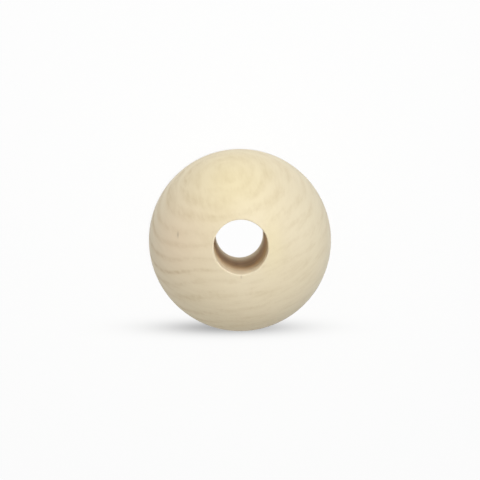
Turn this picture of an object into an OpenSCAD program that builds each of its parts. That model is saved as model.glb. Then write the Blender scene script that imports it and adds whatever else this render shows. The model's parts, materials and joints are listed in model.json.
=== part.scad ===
// Wooden ball bead with a cord hole, turned and drilled from one piece of wood.
//
// The hole runs along Z and the origin is the centre of the ball, so the bead
// stands on the rounded rim of its hole. All sizes are in millimetres.

/* [Ball] */
// Diameter of the turned ball, measured across the hole's axis
ball_d = 35; // [20:1:60]

/* [Hole] */
// Diameter of the hole that the cord runs through
bore_d = 9.8; // [4:0.1:16]
// Radius of the rounded rim, where the hole meets the ball
rim_r = 0.2; // [0.1:0.05:1.5]

/* [Hidden] */

$fn = 180;

ball_r = ball_d / 2;
bore_r = bore_d / 2;

// The rim is an arc that touches the hole's wall and the inside of the ball's
// outline, so its centre lies rim_r from each of them. Its height is rounded
// up to a tenth of a micron, so that the arc never stops short of the ball.
height_step = 0.0001;
rim_x = bore_r + rim_r;
rim_z = height_step * ceil(sqrt(pow(ball_r - rim_r, 2) - pow(rim_x, 2)) / height_step);

// Direction from the ball's centre through the rim's centre: the arc touches
// the ball on this line.
rim_angle = atan2(rim_z, rim_x);

// Anything at least this far out lies outside the ball.
outside = 2 * ball_r;

function on_ray(angle, distance) = [distance * cos(angle), distance * sin(angle)];

// The sharp corner between hole and ball, as far in as the rim's centre.
module sharp_corner() {
    polygon([
        [0, rim_z],
        [rim_x, rim_z],
        on_ray(rim_angle, outside),
        [0, outside]
    ]);
}

// The rounded end of one side of the section: the corner comes off and the
// rim's arc takes its place.
module with_rounded_rim() {
    difference() {
        children();
        sharp_corner();
    }
    translate([rim_x, rim_z])
        circle(r = rim_r);
}

// Half of the bead's lengthwise section, from the wall of the hole outwards.
module half_section() {
    difference() {
        circle(r = ball_r);
        translate([-outside, -outside])
            square([outside + bore_r, 2 * outside]);
    }
}

module bead() {
    color("burlywood")
        rotate_extrude()
            with_rounded_rim()
                mirror([0, 1])
                    with_rounded_rim()
                        half_section();
}

bead();
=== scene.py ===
# %% [markdown]
# # A wooden ball bead
#
# The real thing is one piece of pale maple. It was turned to a ball on a lathe, drilled right through for a
# cord and sanded, and it has no varnish. So there is one shape to make and one material to get right.
#
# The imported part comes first, because it fixes where everything is: the hole runs along Z, the origin is the
# ball's centre, and the bead stands on the rim of its hole. Everything here is in metres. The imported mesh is
# made of flat facets, which cut a circle a little short except at their corners, so the ball's radius is the
# larger of its reaches along X and Y.

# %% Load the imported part
import json
import math

import bmesh
import bpy
from mathutils import Matrix, Vector


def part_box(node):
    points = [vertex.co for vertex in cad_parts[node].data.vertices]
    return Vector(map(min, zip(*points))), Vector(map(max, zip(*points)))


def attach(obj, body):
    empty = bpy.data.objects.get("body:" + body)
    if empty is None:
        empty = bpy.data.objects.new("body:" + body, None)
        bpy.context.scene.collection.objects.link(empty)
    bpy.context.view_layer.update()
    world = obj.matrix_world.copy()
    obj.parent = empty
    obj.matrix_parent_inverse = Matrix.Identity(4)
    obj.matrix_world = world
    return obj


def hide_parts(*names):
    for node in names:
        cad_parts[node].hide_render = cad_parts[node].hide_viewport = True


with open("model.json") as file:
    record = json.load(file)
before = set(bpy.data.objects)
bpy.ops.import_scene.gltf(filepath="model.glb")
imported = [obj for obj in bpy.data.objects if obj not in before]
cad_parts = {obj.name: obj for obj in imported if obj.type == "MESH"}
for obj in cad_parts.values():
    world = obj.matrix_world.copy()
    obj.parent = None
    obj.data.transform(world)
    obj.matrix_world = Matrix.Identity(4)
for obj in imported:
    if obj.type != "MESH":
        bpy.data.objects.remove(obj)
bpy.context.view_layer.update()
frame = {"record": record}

MM = 0.001
low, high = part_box("bead")
hole = frame["record"]["mounts"][0]["dims"]

ball_r = max(high.x, high.y)
hole_r = hole["r_mm"] * MM
rim_z = hole["length_mm"] * MM / 2
rim_r = high.z - rim_z
floor_z = low.z
print(f"ball {2 * ball_r / MM:.2f} mm, hole {2 * hole_r / MM:.2f} mm, rim radius {rim_r / MM:.2f} mm")

# %% [markdown]
# ## Nodes, colours and a plain view
#
# Shapes and materials are both built as node trees, so one helper adds any node, sets it up and links it.
# A socket is called by its name, or by its number where a node gives several the same name, as Math and
# Mix do. Colours are written the way a colour picker shows them, as sRGB hex, and one function turns them
# into the linear numbers that the renderer works in. The Standard view shows those colours as they are.

# %% Helpers for nodes and colours
def add(tree, kind, sockets=None, **settings):
    """Add a node. A socket takes a plain value, another node (its first output) or a node's output."""
    node = tree.nodes.new(kind)
    for name, value in settings.items():
        setattr(node, name, value)
    for key, value in (sockets or {}).items():
        if isinstance(value, bpy.types.Node):
            value = value.outputs[0]
        if isinstance(value, bpy.types.NodeSocket):
            tree.links.new(value, node.inputs[key])
        else:
            node.inputs[key].default_value = value
    return node


def colour(hex_code, alpha=1.0):
    """Turn an sRGB hex colour into linear red, green, blue and alpha."""
    parts = [int(hex_code[i:i + 2], 16) / 255 for i in (0, 2, 4)]
    linear = [c / 12.92 if c <= 0.04045 else ((c + 0.055) / 1.055) ** 2.4 for c in parts]
    return (*linear, alpha)


def new_material(name):
    """Make an empty node material and return it with its tree."""
    material = bpy.data.materials.new(name)
    material.use_nodes = True
    material.node_tree.nodes.clear()
    return material, material.node_tree


scene = bpy.context.scene
scene.view_settings.view_transform = "Standard"

# %% [markdown]
# ## The camera
#
# A drilled ball can stand on the rim of its hole without rolling, so it does, and the camera looks down
# almost along the hole. It leans a few degrees off the hole's line, which is why the lower wall of the hole
# shows and its far rim sits a little high. The lens comes from how strongly the far rim shrinks.

# %% Camera above the bead
PICTURE_PX = 480
FOCAL_PX = 1125
SENSOR = 36.0
CAMERA_DISTANCE = 12.4 * ball_r
NEAREST_SEEN = 1 * MM
FARTHEST_SEEN = 10.0
LEAN_TO_TOP = math.radians(4.41)
LEAN_TO_LEFT = math.radians(0.57)

camera_data = bpy.data.cameras.new("camera")
camera_data.sensor_width = SENSOR
camera_data.lens = FOCAL_PX / PICTURE_PX * SENSOR
camera_data.clip_start = NEAREST_SEEN
camera_data.clip_end = FARTHEST_SEEN
camera = bpy.data.objects.new("camera", camera_data)
scene.collection.objects.link(camera)
camera_turn = Matrix.Rotation(-LEAN_TO_LEFT, 3, "Y") @ Matrix.Rotation(-LEAN_TO_TOP, 3, "X")
camera.rotation_euler = camera_turn.to_euler()
camera.location = camera_turn @ Vector((0, 0, CAMERA_DISTANCE))
scene.camera = camera
print(f"lens {camera_data.lens:.1f} mm at {CAMERA_DISTANCE / MM:.0f} mm")

# %% [markdown]
# ## The turned ball
#
# A lathe makes this shape from its section: the ball's arc, the straight wall of the hole, and at each
# end of the wall a small arc that touches both. Geometry Nodes can do the same. The section is drawn as
# four curves, each as fine as it needs, and swept once round a ring that has the hole's radius. Merging
# the ends of the curves closes the skin. Changing a radius moves all four curves together, which a
# finished mesh can't do.
#
# The tree's inputs are the sizes that a turner would ask for.

# %% The tree and its sizes
turning = bpy.data.node_groups.new("turned_ball", "GeometryNodeTree")
for name, kind in (
    ("Ball radius", "NodeSocketFloat"),
    ("Hole radius", "NodeSocketFloat"),
    ("Rim radius", "NodeSocketFloat"),
    ("Rim height", "NodeSocketFloat"),
    ("Turns", "NodeSocketInt"),
    ("Wood", "NodeSocketMaterial"),
):
    turning.interface.new_socket(name, in_out="INPUT", socket_type=kind)
turning.interface.new_socket("Bead", in_out="OUTPUT", socket_type="NodeSocketGeometry")
sizes = add(turning, "NodeGroupInput").outputs

# %% [markdown]
# In the section, x is measured from the hole's wall outwards and y along the hole. A rim's arc starts where
# its circle touches the ball. Both circles touch on the line through their centres, so the angle of that
# line is worked out once and serves all three arcs.

# %% Where a rim meets the ball
reach = add(turning, "ShaderNodeMath", {0: sizes["Hole radius"], 1: sizes["Rim radius"]}, operation="ADD")
meet = add(turning, "ShaderNodeMath", {0: sizes["Rim height"], 1: reach}, operation="ARCTAN2")
ball_start = add(turning, "ShaderNodeMath", {0: meet, 1: -1.0}, operation="MULTIPLY")
ball_sweep = add(turning, "ShaderNodeMath", {0: meet, 1: 2.0}, operation="MULTIPLY")
rim_sweep = add(turning, "ShaderNodeMath", {0: math.pi, 1: meet}, operation="SUBTRACT")
axis_x = add(turning, "ShaderNodeMath", {0: sizes["Hole radius"], 1: -1.0}, operation="MULTIPLY")
rim_below = add(turning, "ShaderNodeMath", {0: sizes["Rim height"], 1: -1.0}, operation="MULTIPLY")

# %% The three arcs and the wall
BALL_POINTS = 161
RIM_POINTS = 13
WALL_POINTS = 41

section = add(turning, "GeometryNodeJoinGeometry")
for radius, start, sweep, x, y, points in (
    (sizes["Rim radius"], math.pi, rim_sweep, sizes["Rim radius"], rim_below, RIM_POINTS),
    (sizes["Rim radius"], meet, rim_sweep, sizes["Rim radius"], sizes["Rim height"], RIM_POINTS),
    (sizes["Ball radius"], ball_start, ball_sweep, axis_x, 0.0, BALL_POINTS),
):
    arc = add(turning, "GeometryNodeCurveArc", {
        "Resolution": points, "Radius": radius, "Start Angle": start, "Sweep Angle": sweep,
    }, mode="RADIUS")
    centre = add(turning, "ShaderNodeCombineXYZ", {"X": x, "Y": y})
    placed = add(turning, "GeometryNodeTransform", {"Geometry": arc, "Translation": centre})
    turning.links.new(placed.outputs[0], section.inputs[0])

wall_top = add(turning, "ShaderNodeCombineXYZ", {"Y": sizes["Rim height"]})
wall_bottom = add(turning, "ShaderNodeCombineXYZ", {"Y": rim_below})
wall_line = add(turning, "GeometryNodeCurvePrimitiveLine", {"Start": wall_top, "End": wall_bottom})
wall = add(turning, "GeometryNodeResampleCurve", {"Curve": wall_line, "Count": WALL_POINTS})
turning.links.new(wall.outputs[0], section.inputs[0])

# %% Turn the section and close the skin
WELD = 0.002 * MM

ring = add(turning, "GeometryNodeCurvePrimitiveCircle", {
    "Resolution": sizes["Turns"], "Radius": sizes["Hole radius"],
}, mode="RADIUS")
upright = add(turning, "GeometryNodeSetCurveNormal", {"Curve": ring}, mode="Z_UP")
skin = add(turning, "GeometryNodeCurveToMesh", {"Curve": upright, "Profile Curve": section})
closed = add(turning, "GeometryNodeMergeByDistance", {"Geometry": skin, "Distance": WELD})
smooth = add(turning, "GeometryNodeSetShadeSmooth", {"Geometry": closed})
solid = add(turning, "GeometryNodeRealizeInstances", {"Geometry": smooth})
finished = add(turning, "GeometryNodeSetMaterial", {"Geometry": solid, "Material": sizes["Wood"]})
add(turning, "NodeGroupOutput", {"Bead": finished})
print(f"turning tree: {len(turning.nodes)} nodes")

# %% [markdown]
# ## Sanded maple
#
# Maple is pale and even, with thin growth rings a shade darker than the wood between them. The lathe cuts
# through the rings, so they show as ovals where the surface lies along them and as bands elsewhere. The
# surface is sanded bare wood, which gives the eye a soft, broad shine and no sharp reflection.
#
# A solid pattern does this: each point of the bead is given its place in the log, and its distance from the
# log's heart says which ring it is in. Then the rings run through the ball and down the hole by themselves.
# First comes the turn from the bead to the log, with the log's length along Z and its heart at the origin.

# %% Where the bead lay in the log
OUTWARD = Vector((-0.17, 0.76, 0.62)).normalized()
GRAIN = Vector((-0.14, 0.61, -0.78))
HEART = 30.0

grain = (GRAIN - OUTWARD * GRAIN.dot(OUTWARD)).normalized()
across = grain.cross(OUTWARD)
to_log = Matrix((OUTWARD, across, grain))
print("log frame, determinant", round(to_log.determinant(), 3))

wood, tree = new_material("sanded_maple")
where = add(tree, "ShaderNodeTexCoord").outputs["Object"]
bead_mm = add(tree, "ShaderNodeVectorMath", {0: where, "Scale": 1 / MM}, operation="SCALE")
log = add(tree, "ShaderNodeMapping", {
    "Vector": bead_mm, "Location": (HEART, 0, 0), "Rotation": to_log.to_euler(),
})

# %% [markdown]
# Several things are strongest at one place and fade away around it: a bud under the surface, a patch of
# yellower wood, a tiny nick. One function makes that shape, a bell with its own reach along each axis: e to
# the power of minus half the square of the distance, with the distance measured in reaches.

# %% A soft spot
def soft_spot(tree, where, place, reach):
    """Return a node that is 1 at a place and fades to 0 around it."""
    off = add(tree, "ShaderNodeVectorMath", {0: where, 1: place}, operation="SUBTRACT")
    scaled = add(tree, "ShaderNodeVectorMath", {0: off, 1: reach}, operation="DIVIDE")
    square = add(tree, "ShaderNodeVectorMath", {0: scaled, 1: scaled}, operation="DOT_PRODUCT")
    fade = add(tree, "ShaderNodeMath", {0: square.outputs["Value"], 1: -0.5}, operation="MULTIPLY")
    return add(tree, "ShaderNodeMath", {0: fade}, operation="EXPONENT")


# %% [markdown]
# The distance from the heart, less the heart's own distance from the ball's centre, runs from about -18 to
# 18 mm through the bead. Two things bend it. A bud near the surface has pushed the rings outwards at one
# side, so a point there counts as less far out than it is. A slow noise of about 6 mm and a finer one of
# about 1 mm stand for the tree's uneven growth. SHORTENED squeezes the space along the log before the noises
# are made, so they come out stretched along the grain, as growth is.

# %% Distance through the rings
BUD = (-6.6, -6.0, 15.5)
BUD_REACH = 4.6
BUD_PUSH = 1.64
SHORTENED = (1, 1, 0.4)

flat = add(tree, "ShaderNodeVectorMath", {0: log, 1: (1, 1, 0)}, operation="MULTIPLY")
heart_gap = add(tree, "ShaderNodeVectorMath", {0: flat}, operation="LENGTH").outputs["Value"]
depth = add(tree, "ShaderNodeMath", {0: heart_gap, 1: HEART}, operation="SUBTRACT")
bud = soft_spot(tree, bead_mm, BUD, (BUD_REACH, BUD_REACH, BUD_REACH))
depth = add(tree, "ShaderNodeMath", {0: bud, 1: -BUD_PUSH, 2: depth}, operation="MULTIPLY_ADD")

along = add(tree, "ShaderNodeVectorMath", {0: log, 1: SHORTENED}, operation="MULTIPLY")
for wave, sway in ((6.0, 0.9), (1.2, 0.32)):
    noise = add(tree, "ShaderNodeTexNoise", {"Vector": along, "Scale": 1 / wave, "Detail": 1.0})
    centred = add(tree, "ShaderNodeMath", {0: noise, 1: 0.5}, operation="SUBTRACT")
    depth = add(tree, "ShaderNodeMath", {0: centred, 1: sway, 2: depth}, operation="MULTIPLY_ADD")

# %% [markdown]
# Each ring is a soft dark line at its own distance, and some stretches between two rings are a little paler.
# Growth differs from year to year, so the distances, widths and strengths are a short list, in millimetres,
# with darker lines positive. They are added up to one number: how much tone a point gains or loses.

# %% Growth rings
RINGS = (
    (17.35, 0.12, 0.5), (16.9, 0.15, 0.5), (16.2, 0.35, 0.45), (14.85, 0.4, 0.45), (14.1, 0.4, -0.2),
    (13.1, 0.35, 0.25), (12.3, 0.6, -0.12), (11.4, 0.35, 0.28), (10.3, 0.6, -0.25), (9.2, 0.35, 0.25),
    (8.1, 0.5, -0.12), (7.0, 0.3, 0.34), (6.0, 0.5, -0.12), (4.8, 0.4, 0.18), (3.6, 0.7, -0.08),
    (2.4, 0.7, 0.18), (0.7, 0.7, -0.1), (-0.95, 0.4, 0.28), (-2.4, 0.6, -0.2), (-3.8, 0.4, 0.25),
    (-6.4, 0.5, 0.3), (-9.2, 0.5, 0.25), (-12.0, 0.5, 0.3), (-14.8, 0.5, 0.25),
)
tone = None
for place, half_width, strength in RINGS:
    offset = add(tree, "ShaderNodeMath", {0: depth, 1: place}, operation="SUBTRACT")
    gap = add(tree, "ShaderNodeMath", {0: offset}, operation="ABSOLUTE")
    line = add(tree, "ShaderNodeMapRange", {
        "Value": gap, "From Min": 0.0, "From Max": 2 * half_width, "To Min": strength, "To Max": 0.0,
    }, interpolation_type="SMOOTHSTEP")
    if tone is None:
        tone = line
    else:
        tone = add(tree, "ShaderNodeMath", {0: tone, 1: line}, operation="ADD")
print(f"{len(RINGS)} rings and pale bands")

# %% [markdown]
# The rings aren't equally clear everywhere. They are strongest at one side of the log and fall off quickly
# from there, until only CLEAR_REST of them is left.

# %% Where the rings are clear
CLEAR_SIDE = -14.0
CLEAR_REACH = -5.0
CLEAR_EXTRA = 1.4
CLEAR_REST = 0.45

sides = add(tree, "ShaderNodeSeparateXYZ", {0: log})
from_side = add(tree, "ShaderNodeMath", {0: sides.outputs["Y"], 1: CLEAR_SIDE}, operation="SUBTRACT")
from_side = add(tree, "ShaderNodeMath", {0: from_side, 1: CLEAR_REACH}, operation="DIVIDE")
fall = add(tree, "ShaderNodeMath", {0: from_side}, operation="EXPONENT")
clearness = add(tree, "ShaderNodeMath", {
    0: fall, 1: CLEAR_EXTRA, 2: CLEAR_REST,
}, operation="MULTIPLY_ADD")

# %% [markdown]
# A ring also fades and gains along its way: slowly, in patches about 5 mm across, and finely, in breaks
# of under a millimetre where the lathe has cut single fibres. Two noises do it. A noise node's values
# mostly lie between 0.3 and 0.7, so that is the span that is stretched to the range wanted.

# %% Patches and breaks in the rings
NOISE_LOW = 0.3
NOISE_HIGH = 0.7

for squeeze, wave, detail, faded, strong in (
    (SHORTENED, 5.0, 1.0, 0.55, 1.35),
    ((1, 1, 0.35), 0.8, 2.0, 0.3, 1.7),
):
    squeezed = add(tree, "ShaderNodeVectorMath", {0: log, 1: squeeze}, operation="MULTIPLY")
    patches = add(tree, "ShaderNodeTexNoise", {"Vector": squeezed, "Scale": 1 / wave, "Detail": detail})
    patchy = add(tree, "ShaderNodeMapRange", {
        "Value": patches, "From Min": NOISE_LOW, "From Max": NOISE_HIGH,
        "To Min": faded, "To Max": strong,
    })
    clearness = add(tree, "ShaderNodeMath", {0: clearness, 1: patchy}, operation="MULTIPLY")
tone = add(tree, "ShaderNodeMath", {0: tone, 1: clearness}, operation="MULTIPLY")

# %% [markdown]
# Between the rings the wood is never quite even. Cloudy patches a few millimetres across lie along the
# rings, and fibres run along the log as streaks. Real fibres and pores are too fine to show at this size, so
# they are drawn coarser, as streaks about 0.4 mm wide and a slight speckle of a quarter of a millimetre. All
# three are noises, stretched by squeezing the space they are made in: a small factor makes a long streak.

# %% Clouds, fibres and speckle
for squeeze, wave, amount in (
    ((2.4, 0.5, 0.5), 2.2, 1.0),
    ((1, 1, 0.06), 0.45, 0.3),
    ((1, 1, 0.25), 0.25, 0.2),
):
    squeezed = add(tree, "ShaderNodeVectorMath", {0: log, 1: squeeze}, operation="MULTIPLY")
    noise = add(tree, "ShaderNodeTexNoise", {"Vector": squeezed, "Scale": 1 / wave, "Detail": 2.0})
    centred = add(tree, "ShaderNodeMath", {0: noise, 1: 0.5}, operation="SUBTRACT")
    tone = add(tree, "ShaderNodeMath", {0: centred, 1: amount, 2: tone}, operation="MULTIPLY_ADD")

# %% [markdown]
# The tone picks the colour from three: the cream of the palest wood, the plain colour that most of it
# has, and the tan of a ring. A colour ramp blends between them, and because all three are close, a ring
# is a shade in the wood and not a stripe on it.

# %% Wood colour from the tone
PALE = "EEE2C4"
PLAIN = "E5D7B8"
DARK = "CDB991"

tint = add(tree, "ShaderNodeMapRange", {
    "Value": tone, "From Min": -1.0, "From Max": 1.0, "To Min": 0.0, "To Max": 1.0,
})
shades = add(tree, "ShaderNodeValToRGB", {0: tint})
ramp = shades.color_ramp.elements
ramp[0].color = colour(PALE)
ramp[1].color = colour(DARK)
ramp.new(0.5).color = colour(PLAIN)

# %% [markdown]
# Some places are tinted. The wood is yellower above and to one side of the hole. At the other side a pinker
# tint also makes the ball a little darker, and two fine dark nicks lie across the rings. Each is a soft spot
# that mixes in a tint, with its place and reach in millimetres, its colour, and the most that it mixes in.

# %% Tinted places and nicks
surface = shades
for place, reach, tint_hex, most in (
    ((-1.5, 11.5, 12.5), (5.0, 6.0, 6.0), "F4E4A8", 0.32),
    ((5.5, 0.5, 16.5), (1.5, 3.5, 3.0), "F0E2B0", 0.3),
    ((-12.0, 0.5, 12.0), (5.0, 5.0, 6.0), "E3CCAF", 0.5),
    ((-11.37, 1.97, 13.16), (0.11, 0.34, 1.0), "7E6648", 0.42),
    ((0.05, -5.35, 16.67), (0.1, 0.2, 1.0), "9A8464", 0.32),
):
    spot = soft_spot(tree, bead_mm, place, reach)
    share = add(tree, "ShaderNodeMath", {0: spot, 1: most}, operation="MULTIPLY")
    surface = add(tree, "ShaderNodeMix", {
        0: share, 6: surface, 7: colour(tint_hex),
    }, data_type="RGBA").outputs[2]

# %% [markdown]
# The hole's wall is darker and redder than the sanded outside. Part of that is the colour of drilled wood
# and part is painted shade, deepest in the middle of the hole. Near the two mouths the wall is painted paler,
# nearly as pale as the outside, a painted light where light reaches in. The drill has also left faint rings
# round the wall, a millimetre or two apart.
#
# A point belongs to the wall by its distance from the hole's line. Within WALL_SKIN of the drilled size
# it is all wall, past RIM_SKIN it is all outside, and the change happens on the rounded rim between them.

# %% The wall of the hole
# The deep wall colour is drilled wood darkened by painted shade. The mouth colour is a painted light.
DRILLED_AND_SHADED = "E9CFA6"
LIT_MOUTH = "F7EAD0"
LIT_MOUTH_FROM = 4.0
LIT_MOUTH_FULL = 13.0
WALL_SKIN = 0.01
RIM_SKIN = 0.15

flat_mm = add(tree, "ShaderNodeVectorMath", {0: bead_mm, 1: (1, 1, 0)}, operation="MULTIPLY")
from_axis = add(tree, "ShaderNodeVectorMath", {0: flat_mm}, operation="LENGTH").outputs["Value"]
in_hole = add(tree, "ShaderNodeMapRange", {
    "Value": from_axis, "From Min": hole_r / MM + WALL_SKIN, "From Max": hole_r / MM + RIM_SKIN,
    "To Min": 1.0, "To Max": 0.0,
})
height = add(tree, "ShaderNodeSeparateXYZ", {0: bead_mm}).outputs["Z"]
from_middle = add(tree, "ShaderNodeMath", {0: height}, operation="ABSOLUTE")
# Towards each mouth the wall is mixed over to the paler colour, a painted light.
mouth_light = add(tree, "ShaderNodeMapRange", {
    "Value": from_middle, "From Min": LIT_MOUTH_FROM, "From Max": LIT_MOUTH_FULL,
}, interpolation_type="SMOOTHSTEP")
wall_colour_and_shade = add(tree, "ShaderNodeMix", {
    0: mouth_light, 6: colour(DRILLED_AND_SHADED), 7: colour(LIT_MOUTH),
}, data_type="RGBA").outputs[2]

# %% The drill's rings, and the two woods together
DRILL_STEP = 1.5
DRILL_SQUEEZE = (0.08, 0.08, 1)
DRILL_DARK = 0.88
DRILL_PALE = 1.08

drill_space = add(tree, "ShaderNodeVectorMath", {0: bead_mm, 1: DRILL_SQUEEZE}, operation="MULTIPLY")
drill_rings = add(tree, "ShaderNodeTexNoise", {
    "Vector": drill_space, "Scale": 1 / DRILL_STEP, "Detail": 2.0,
})
drill_tone = add(tree, "ShaderNodeMapRange", {
    "Value": drill_rings, "From Min": NOISE_LOW, "From Max": NOISE_HIGH,
    "To Min": DRILL_DARK, "To Max": DRILL_PALE,
})
wall_colour_and_shade = add(tree, "ShaderNodeVectorMath", {0: wall_colour_and_shade, "Scale": drill_tone}, operation="SCALE")
whole = add(tree, "ShaderNodeMix", {0: in_hole, 6: surface, 7: wall_colour_and_shade}, data_type="RGBA").outputs[2]

# %% [markdown]
# Bare sanded wood scatters light softly. A middling roughness spreads its shine so wide that it only
# lifts the lit side, and a little sheen stands for the nap of cut fibres, which catches light along the
# edge of the ball. The drilled wall is rougher and duller and has no nap. Each pair is the outside's
# value and the wall's.

# %% Bare wood, duller in the hole
ROUGHNESS = (0.55, 0.65)
SHINE = (0.5, 0.35)
NAP = (0.15, 0.0)
NAP_SPREAD = 0.4

roughness, shine, nap = [
    add(tree, "ShaderNodeMapRange", {"Value": in_hole, "To Min": outside, "To Max": inside})
    for outside, inside in (ROUGHNESS, SHINE, NAP)
]
shader = add(tree, "ShaderNodeBsdfPrincipled", {
    "Base Color": whole, "Roughness": roughness, "Specular IOR Level": shine,
    "Sheen Weight": nap, "Sheen Roughness": NAP_SPREAD,
})
add(tree, "ShaderNodeOutputMaterial", {"Surface": shader})

# %% [markdown]
# The tree now gets its sizes and its wood. A modifier knows an input by its socket's identifier, not by its
# name, so the names are looked up. The result is kept as a plain mesh. With 256 steps round the ball its
# outline stays smooth close up.
#
# In a closed skin every edge joins exactly two faces. The edges that don't are counted, and there should be
# none, which also shows that the section's four curves met.

# %% Make the bead
TURNS = 256

holder = bpy.data.objects.new("bead_tree", bpy.data.meshes.new("bead_tree"))
scene.collection.objects.link(holder)
modifier = holder.modifiers.new("turning", "NODES")
modifier.node_group = turning
values = {
    "Ball radius": ball_r, "Hole radius": hole_r, "Rim radius": rim_r, "Rim height": rim_z,
    "Turns": TURNS, "Wood": wood,
}
for item in turning.interface.items_tree:
    if item.in_out == "INPUT":
        modifier[item.identifier] = values[item.name]
graph = bpy.context.evaluated_depsgraph_get()
mesh = bpy.data.meshes.new_from_object(holder.evaluated_get(graph), depsgraph=graph)
mesh.name = "bead_turned"
bpy.data.objects.remove(holder)
bead = bpy.data.objects.new("bead_turned", mesh)
scene.collection.objects.link(bead)

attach(bead, "root")
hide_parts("bead")

# %% Is the skin closed?
skin_check = bmesh.new()
skin_check.from_mesh(mesh)
open_edges = sum(1 for edge in skin_check.edges if not edge.is_manifold)
volume = skin_check.calc_volume(signed=True) / MM ** 3
skin_check.free()
print(f"bead: {len(mesh.polygons)} faces, {open_edges} open edges, {volume:.0f} cubic mm of wood")

# %% [markdown]
# ## The table
#
# The bead stands on a white table that runs out of sight, so everything round it is the same plain white.
# A lamp of its own lights the table. What the camera sees of the table is that lamp's light, which the
# bead's shadow takes away, and a white of its own, which the shadow can't touch. SHADOW_DEPTH is the share
# that the shadow takes. The white of the lit table comes out at WHITE, just short of the brightest value.
#
# The bead sees the same table as ordinary white board under light of level 1, whatever its lamp's level.

# %% The table's levels
WHITE = 0.985
SHADOW_DEPTH = 0.82
SKY = 0.25
TABLE_LIGHT = 4.0
TABLE_LAMP_UP = 86
TABLE_LAMP_FAR = 1.0
BOARD = 0.8

lit_share = WHITE * SHADOW_DEPTH / TABLE_LIGHT
nearness = TABLE_LAMP_FAR / (TABLE_LAMP_FAR - floor_z)
reaches = math.sin(math.radians(TABLE_LAMP_UP)) * nearness ** 2
own_white = WHITE - lit_share * (SKY + reaches * TABLE_LIGHT)
bounce = BOARD / (SKY + TABLE_LIGHT)
print(f"table: lit {lit_share:.3f}, own white {own_white:.3f}, bounce {bounce:.3f}")

# %% A plane at the foot of the bead
FLOOR_HALF = 2.0

corners = [(x * FLOOR_HALF, y * FLOOR_HALF, floor_z) for x, y in ((-1, -1), (1, -1), (1, 1), (-1, 1))]
floor_mesh = bpy.data.meshes.new("floor")
floor_mesh.from_pydata(corners, [], [(0, 1, 2, 3)])
floor = bpy.data.objects.new("floor", floor_mesh)
scene.collection.objects.link(floor)
floor_material, tree = new_material("white_table")
floor_mesh.materials.append(floor_material)

# %% [markdown]
# The shade of a ball is darkest in a flat oval along its near edge and soft all round. The lamp alone makes
# it too even, so a painted shadow, an oval dip in the table's white, is added there. Places and reaches on the
# table are in millimetres.

# %% Painted shade along the near edge
SHADE_AT = (-2.2, -19.6, 0)
SHADE_REACH = (9.4, 1.05, 1)
SHADE = 0.6

where = add(tree, "ShaderNodeTexCoord").outputs["Object"]
table_mm = add(tree, "ShaderNodeVectorMath", {0: where, 1: (1 / MM, 1 / MM, 0)}, operation="MULTIPLY")
shade = soft_spot(tree, table_mm, SHADE_AT, SHADE_REACH)
left_white = add(tree, "ShaderNodeMath", {0: shade, 1: -SHADE, 2: 1.0}, operation="MULTIPLY_ADD")

# %% [markdown]
# The table lamp's light fades with distance, so far from the bead the table would turn grey. There is no
# shadow to show out there, so from NEAR to FAR, in millimetres, the table goes over to a white all its own.

# %% What the camera sees of the table
NEAR = 60.0
FAR = 120.0

from_middle = add(tree, "ShaderNodeVectorMath", {0: table_mm}, operation="LENGTH").outputs["Value"]
near = add(tree, "ShaderNodeMapRange", {
    "Value": from_middle, "From Min": NEAR, "From Max": FAR, "To Min": 1.0, "To Max": 0.0,
}, interpolation_type="SMOOTHSTEP")
lit_here = add(tree, "ShaderNodeMath", {0: near, 1: lit_share}, operation="MULTIPLY")
own_here = add(tree, "ShaderNodeMath", {
    0: near, 1: own_white - WHITE, 2: WHITE,
}, operation="MULTIPLY_ADD")
lit_level = add(tree, "ShaderNodeMath", {0: left_white, 1: lit_here}, operation="MULTIPLY")
own_level = add(tree, "ShaderNodeMath", {0: left_white, 1: own_here}, operation="MULTIPLY")
lit = add(tree, "ShaderNodeBsdfDiffuse", {"Color": lit_level})
own = add(tree, "ShaderNodeEmission", {"Color": (1, 1, 1, 1), "Strength": own_level})
seen = add(tree, "ShaderNodeAddShader", {0: lit, 1: own})

# %% [markdown]
# The bead sees white board that is dark for some centimetres in front of it. White there would light the
# ball's lower edge, which lies in shade. The camera never sees that dark stretch.

# %% What the bead sees of it
FRONT_AT = (0, -55, 0)
FRONT_REACH = (30, 46, 1)
FRONT = 1.0

front = soft_spot(tree, table_mm, FRONT_AT, FRONT_REACH)
front_level = add(tree, "ShaderNodeMath", {
    0: front, 1: -FRONT * bounce, 2: bounce,
}, operation="MULTIPLY_ADD")
unseen = add(tree, "ShaderNodeBsdfDiffuse", {"Color": front_level})
rays = add(tree, "ShaderNodeLightPath").outputs["Is Camera Ray"]
table = add(tree, "ShaderNodeMixShader", {0: rays, 1: unseen, 2: seen})

# %% [markdown]
# Down the hole the eye meets white. The table there lies deep in the bead's shade, so a disc of it, as wide
# as the mouth of the hole, glows: at the table's white for the camera and a little less for the hole's wall.

# %% White at the end of the hole
GLOW = 0.72

glow_seen = add(tree, "ShaderNodeEmission", {"Color": (1, 1, 1, 1), "Strength": WHITE})
glow_cast = add(tree, "ShaderNodeEmission", {"Color": (1, 1, 1, 1), "Strength": GLOW})
glow = add(tree, "ShaderNodeMixShader", {0: rays, 1: glow_cast, 2: glow_seen})
disc_r = (hole_r + rim_r) / MM
in_disc = add(tree, "ShaderNodeMath", {0: from_middle, 1: disc_r}, operation="LESS_THAN")
top = add(tree, "ShaderNodeMixShader", {0: in_disc, 1: table, 2: glow})

# %% [markdown]
# Seen from underneath, the table is clear, so the bead can be looked at from every side.

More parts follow.
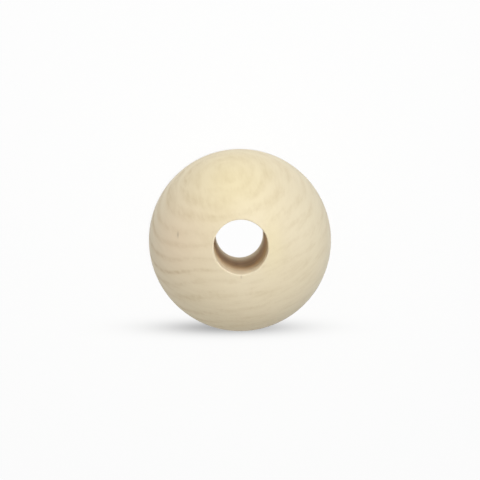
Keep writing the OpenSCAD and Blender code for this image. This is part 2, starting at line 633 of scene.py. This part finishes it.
# %% Finish the table
from_below = add(tree, "ShaderNodeNewGeometry").outputs["Backfacing"]
see_through = add(tree, "ShaderNodeBsdfTransparent")
both = add(tree, "ShaderNodeMixShader", {0: from_below, 1: top, 2: see_through})
add(tree, "ShaderNodeOutputMaterial", {"Surface": both})

# %% [markdown]
# ## Light
#
# The room is white to the camera and to the bead's soft shine. As light it is only a weak fill, so that the
# lamps can model the ball.

# %% The room
world = bpy.data.worlds.new("studio")
world.use_nodes = True
tree = world.node_tree
tree.nodes.clear()
scene.world = world
rays = add(tree, "ShaderNodeLightPath").outputs
shown = add(tree, "ShaderNodeMath", {
    0: rays["Is Camera Ray"], 1: rays["Is Glossy Ray"],
}, operation="MAXIMUM")
shown = add(tree, "ShaderNodeMath", {0: shown, 1: rays["Is Transmission Ray"]}, operation="MAXIMUM")
fill = add(tree, "ShaderNodeBackground", {"Color": (1, 1, 1, 1), "Strength": SKY})
white = add(tree, "ShaderNodeBackground", {"Color": (1, 1, 1, 1), "Strength": 1.0})
room = add(tree, "ShaderNodeMixShader", {0: shown, 1: fill, 2: white})
add(tree, "ShaderNodeOutputWorld", {"Surface": room})

# %% [markdown]
# A lamp is a round soft box that faces the bead. It is placed by the way it lies from the bead, in degrees:
# 0 is to the right, 90 to the top of the view, 90 up is overhead. Its level is what it gives a white surface
# that faces it, so the lamps' levels and the fill can be compared. No part of the ball faces them all, and
# what reaches any one part adds up to about 1.

# %% A soft box
def lamp(name, azimuth, elevation, distance, size, level, tint="FFFFFF"):
    """Place a round lamp that faces the bead."""
    data = bpy.data.lights.new(name, "AREA")
    data.shape = "DISK"
    data.size = size
    data.energy = level * (math.pi * distance) ** 2
    data.color = colour(tint)[:3]
    soft_box = bpy.data.objects.new(name, data)
    scene.collection.objects.link(soft_box)
    turn = math.radians(azimuth)
    up = math.radians(elevation)
    out = Vector((math.cos(turn) * math.cos(up), math.sin(turn) * math.cos(up), math.sin(up)))
    soft_box.location = out * distance
    soft_box.rotation_euler = out.to_track_quat("Z", "Y").to_euler()
    return soft_box


# %% [markdown]
# The key comes from the upper right and high up, so its light reaches down the lower wall of the hole and
# leaves the rest of the wall dark. A weaker, slightly warm one fills the lower side. Low ones round the back
# and sides keep the ball's edges nearly as bright as its middle, and the one at the right is a little cool.

# %% Lamps on the bead
LAMP_FAR = 0.5
KEY_SIZE = 0.2
FILL_SIZE = 0.3

BEAD_LAMPS = (
    lamp("key", 64, 54, LAMP_FAR, KEY_SIZE, 0.54),
    lamp("below", 274, 46, LAMP_FAR, FILL_SIZE, 0.36, "FFFCF8"),
    lamp("back", 90, 12, LAMP_FAR, FILL_SIZE, 0.15),
    lamp("back_left", 140, 15, LAMP_FAR, FILL_SIZE, 0.13),
    lamp("left", 195, 10, LAMP_FAR, FILL_SIZE, 0.07),
    lamp("right", 10, 12, LAMP_FAR, FILL_SIZE, 0.11, "D0E8FF"),
)

# %% [markdown]
# Light linking keeps each lamp to its own subject: the six leave the table alone, and the table's lamp
# lights nothing else. That lamp is almost overhead, and only the bead casts a shadow in its light. Its
# size sets how soft the edge of that shadow is.

# %% The bead's lamps leave the table alone
not_table = bpy.data.collections.new("all_but_the_table")
not_table.objects.link(floor)
not_table.collection_objects[0].light_linking.link_state = "EXCLUDE"
for soft_box in BEAD_LAMPS:
    soft_box.light_linking.receiver_collection = not_table
print(f"{len(BEAD_LAMPS)} lamps on the bead")

# %% The table's own lamp
TABLE_LAMP_SIZE = 0.16

table_lamp = lamp("table_lamp", 90, TABLE_LAMP_UP, TABLE_LAMP_FAR, TABLE_LAMP_SIZE, TABLE_LIGHT)
only_table = bpy.data.collections.new("only_the_table")
only_table.objects.link(floor)
table_lamp.light_linking.receiver_collection = only_table
only_bead = bpy.data.collections.new("only_the_bead")
only_bead.objects.link(bead)
table_lamp.light_linking.blocker_collection = only_bead
print(f"table lamp of level {TABLE_LIGHT}, its light reaching the table at {reaches:.3f} of that")
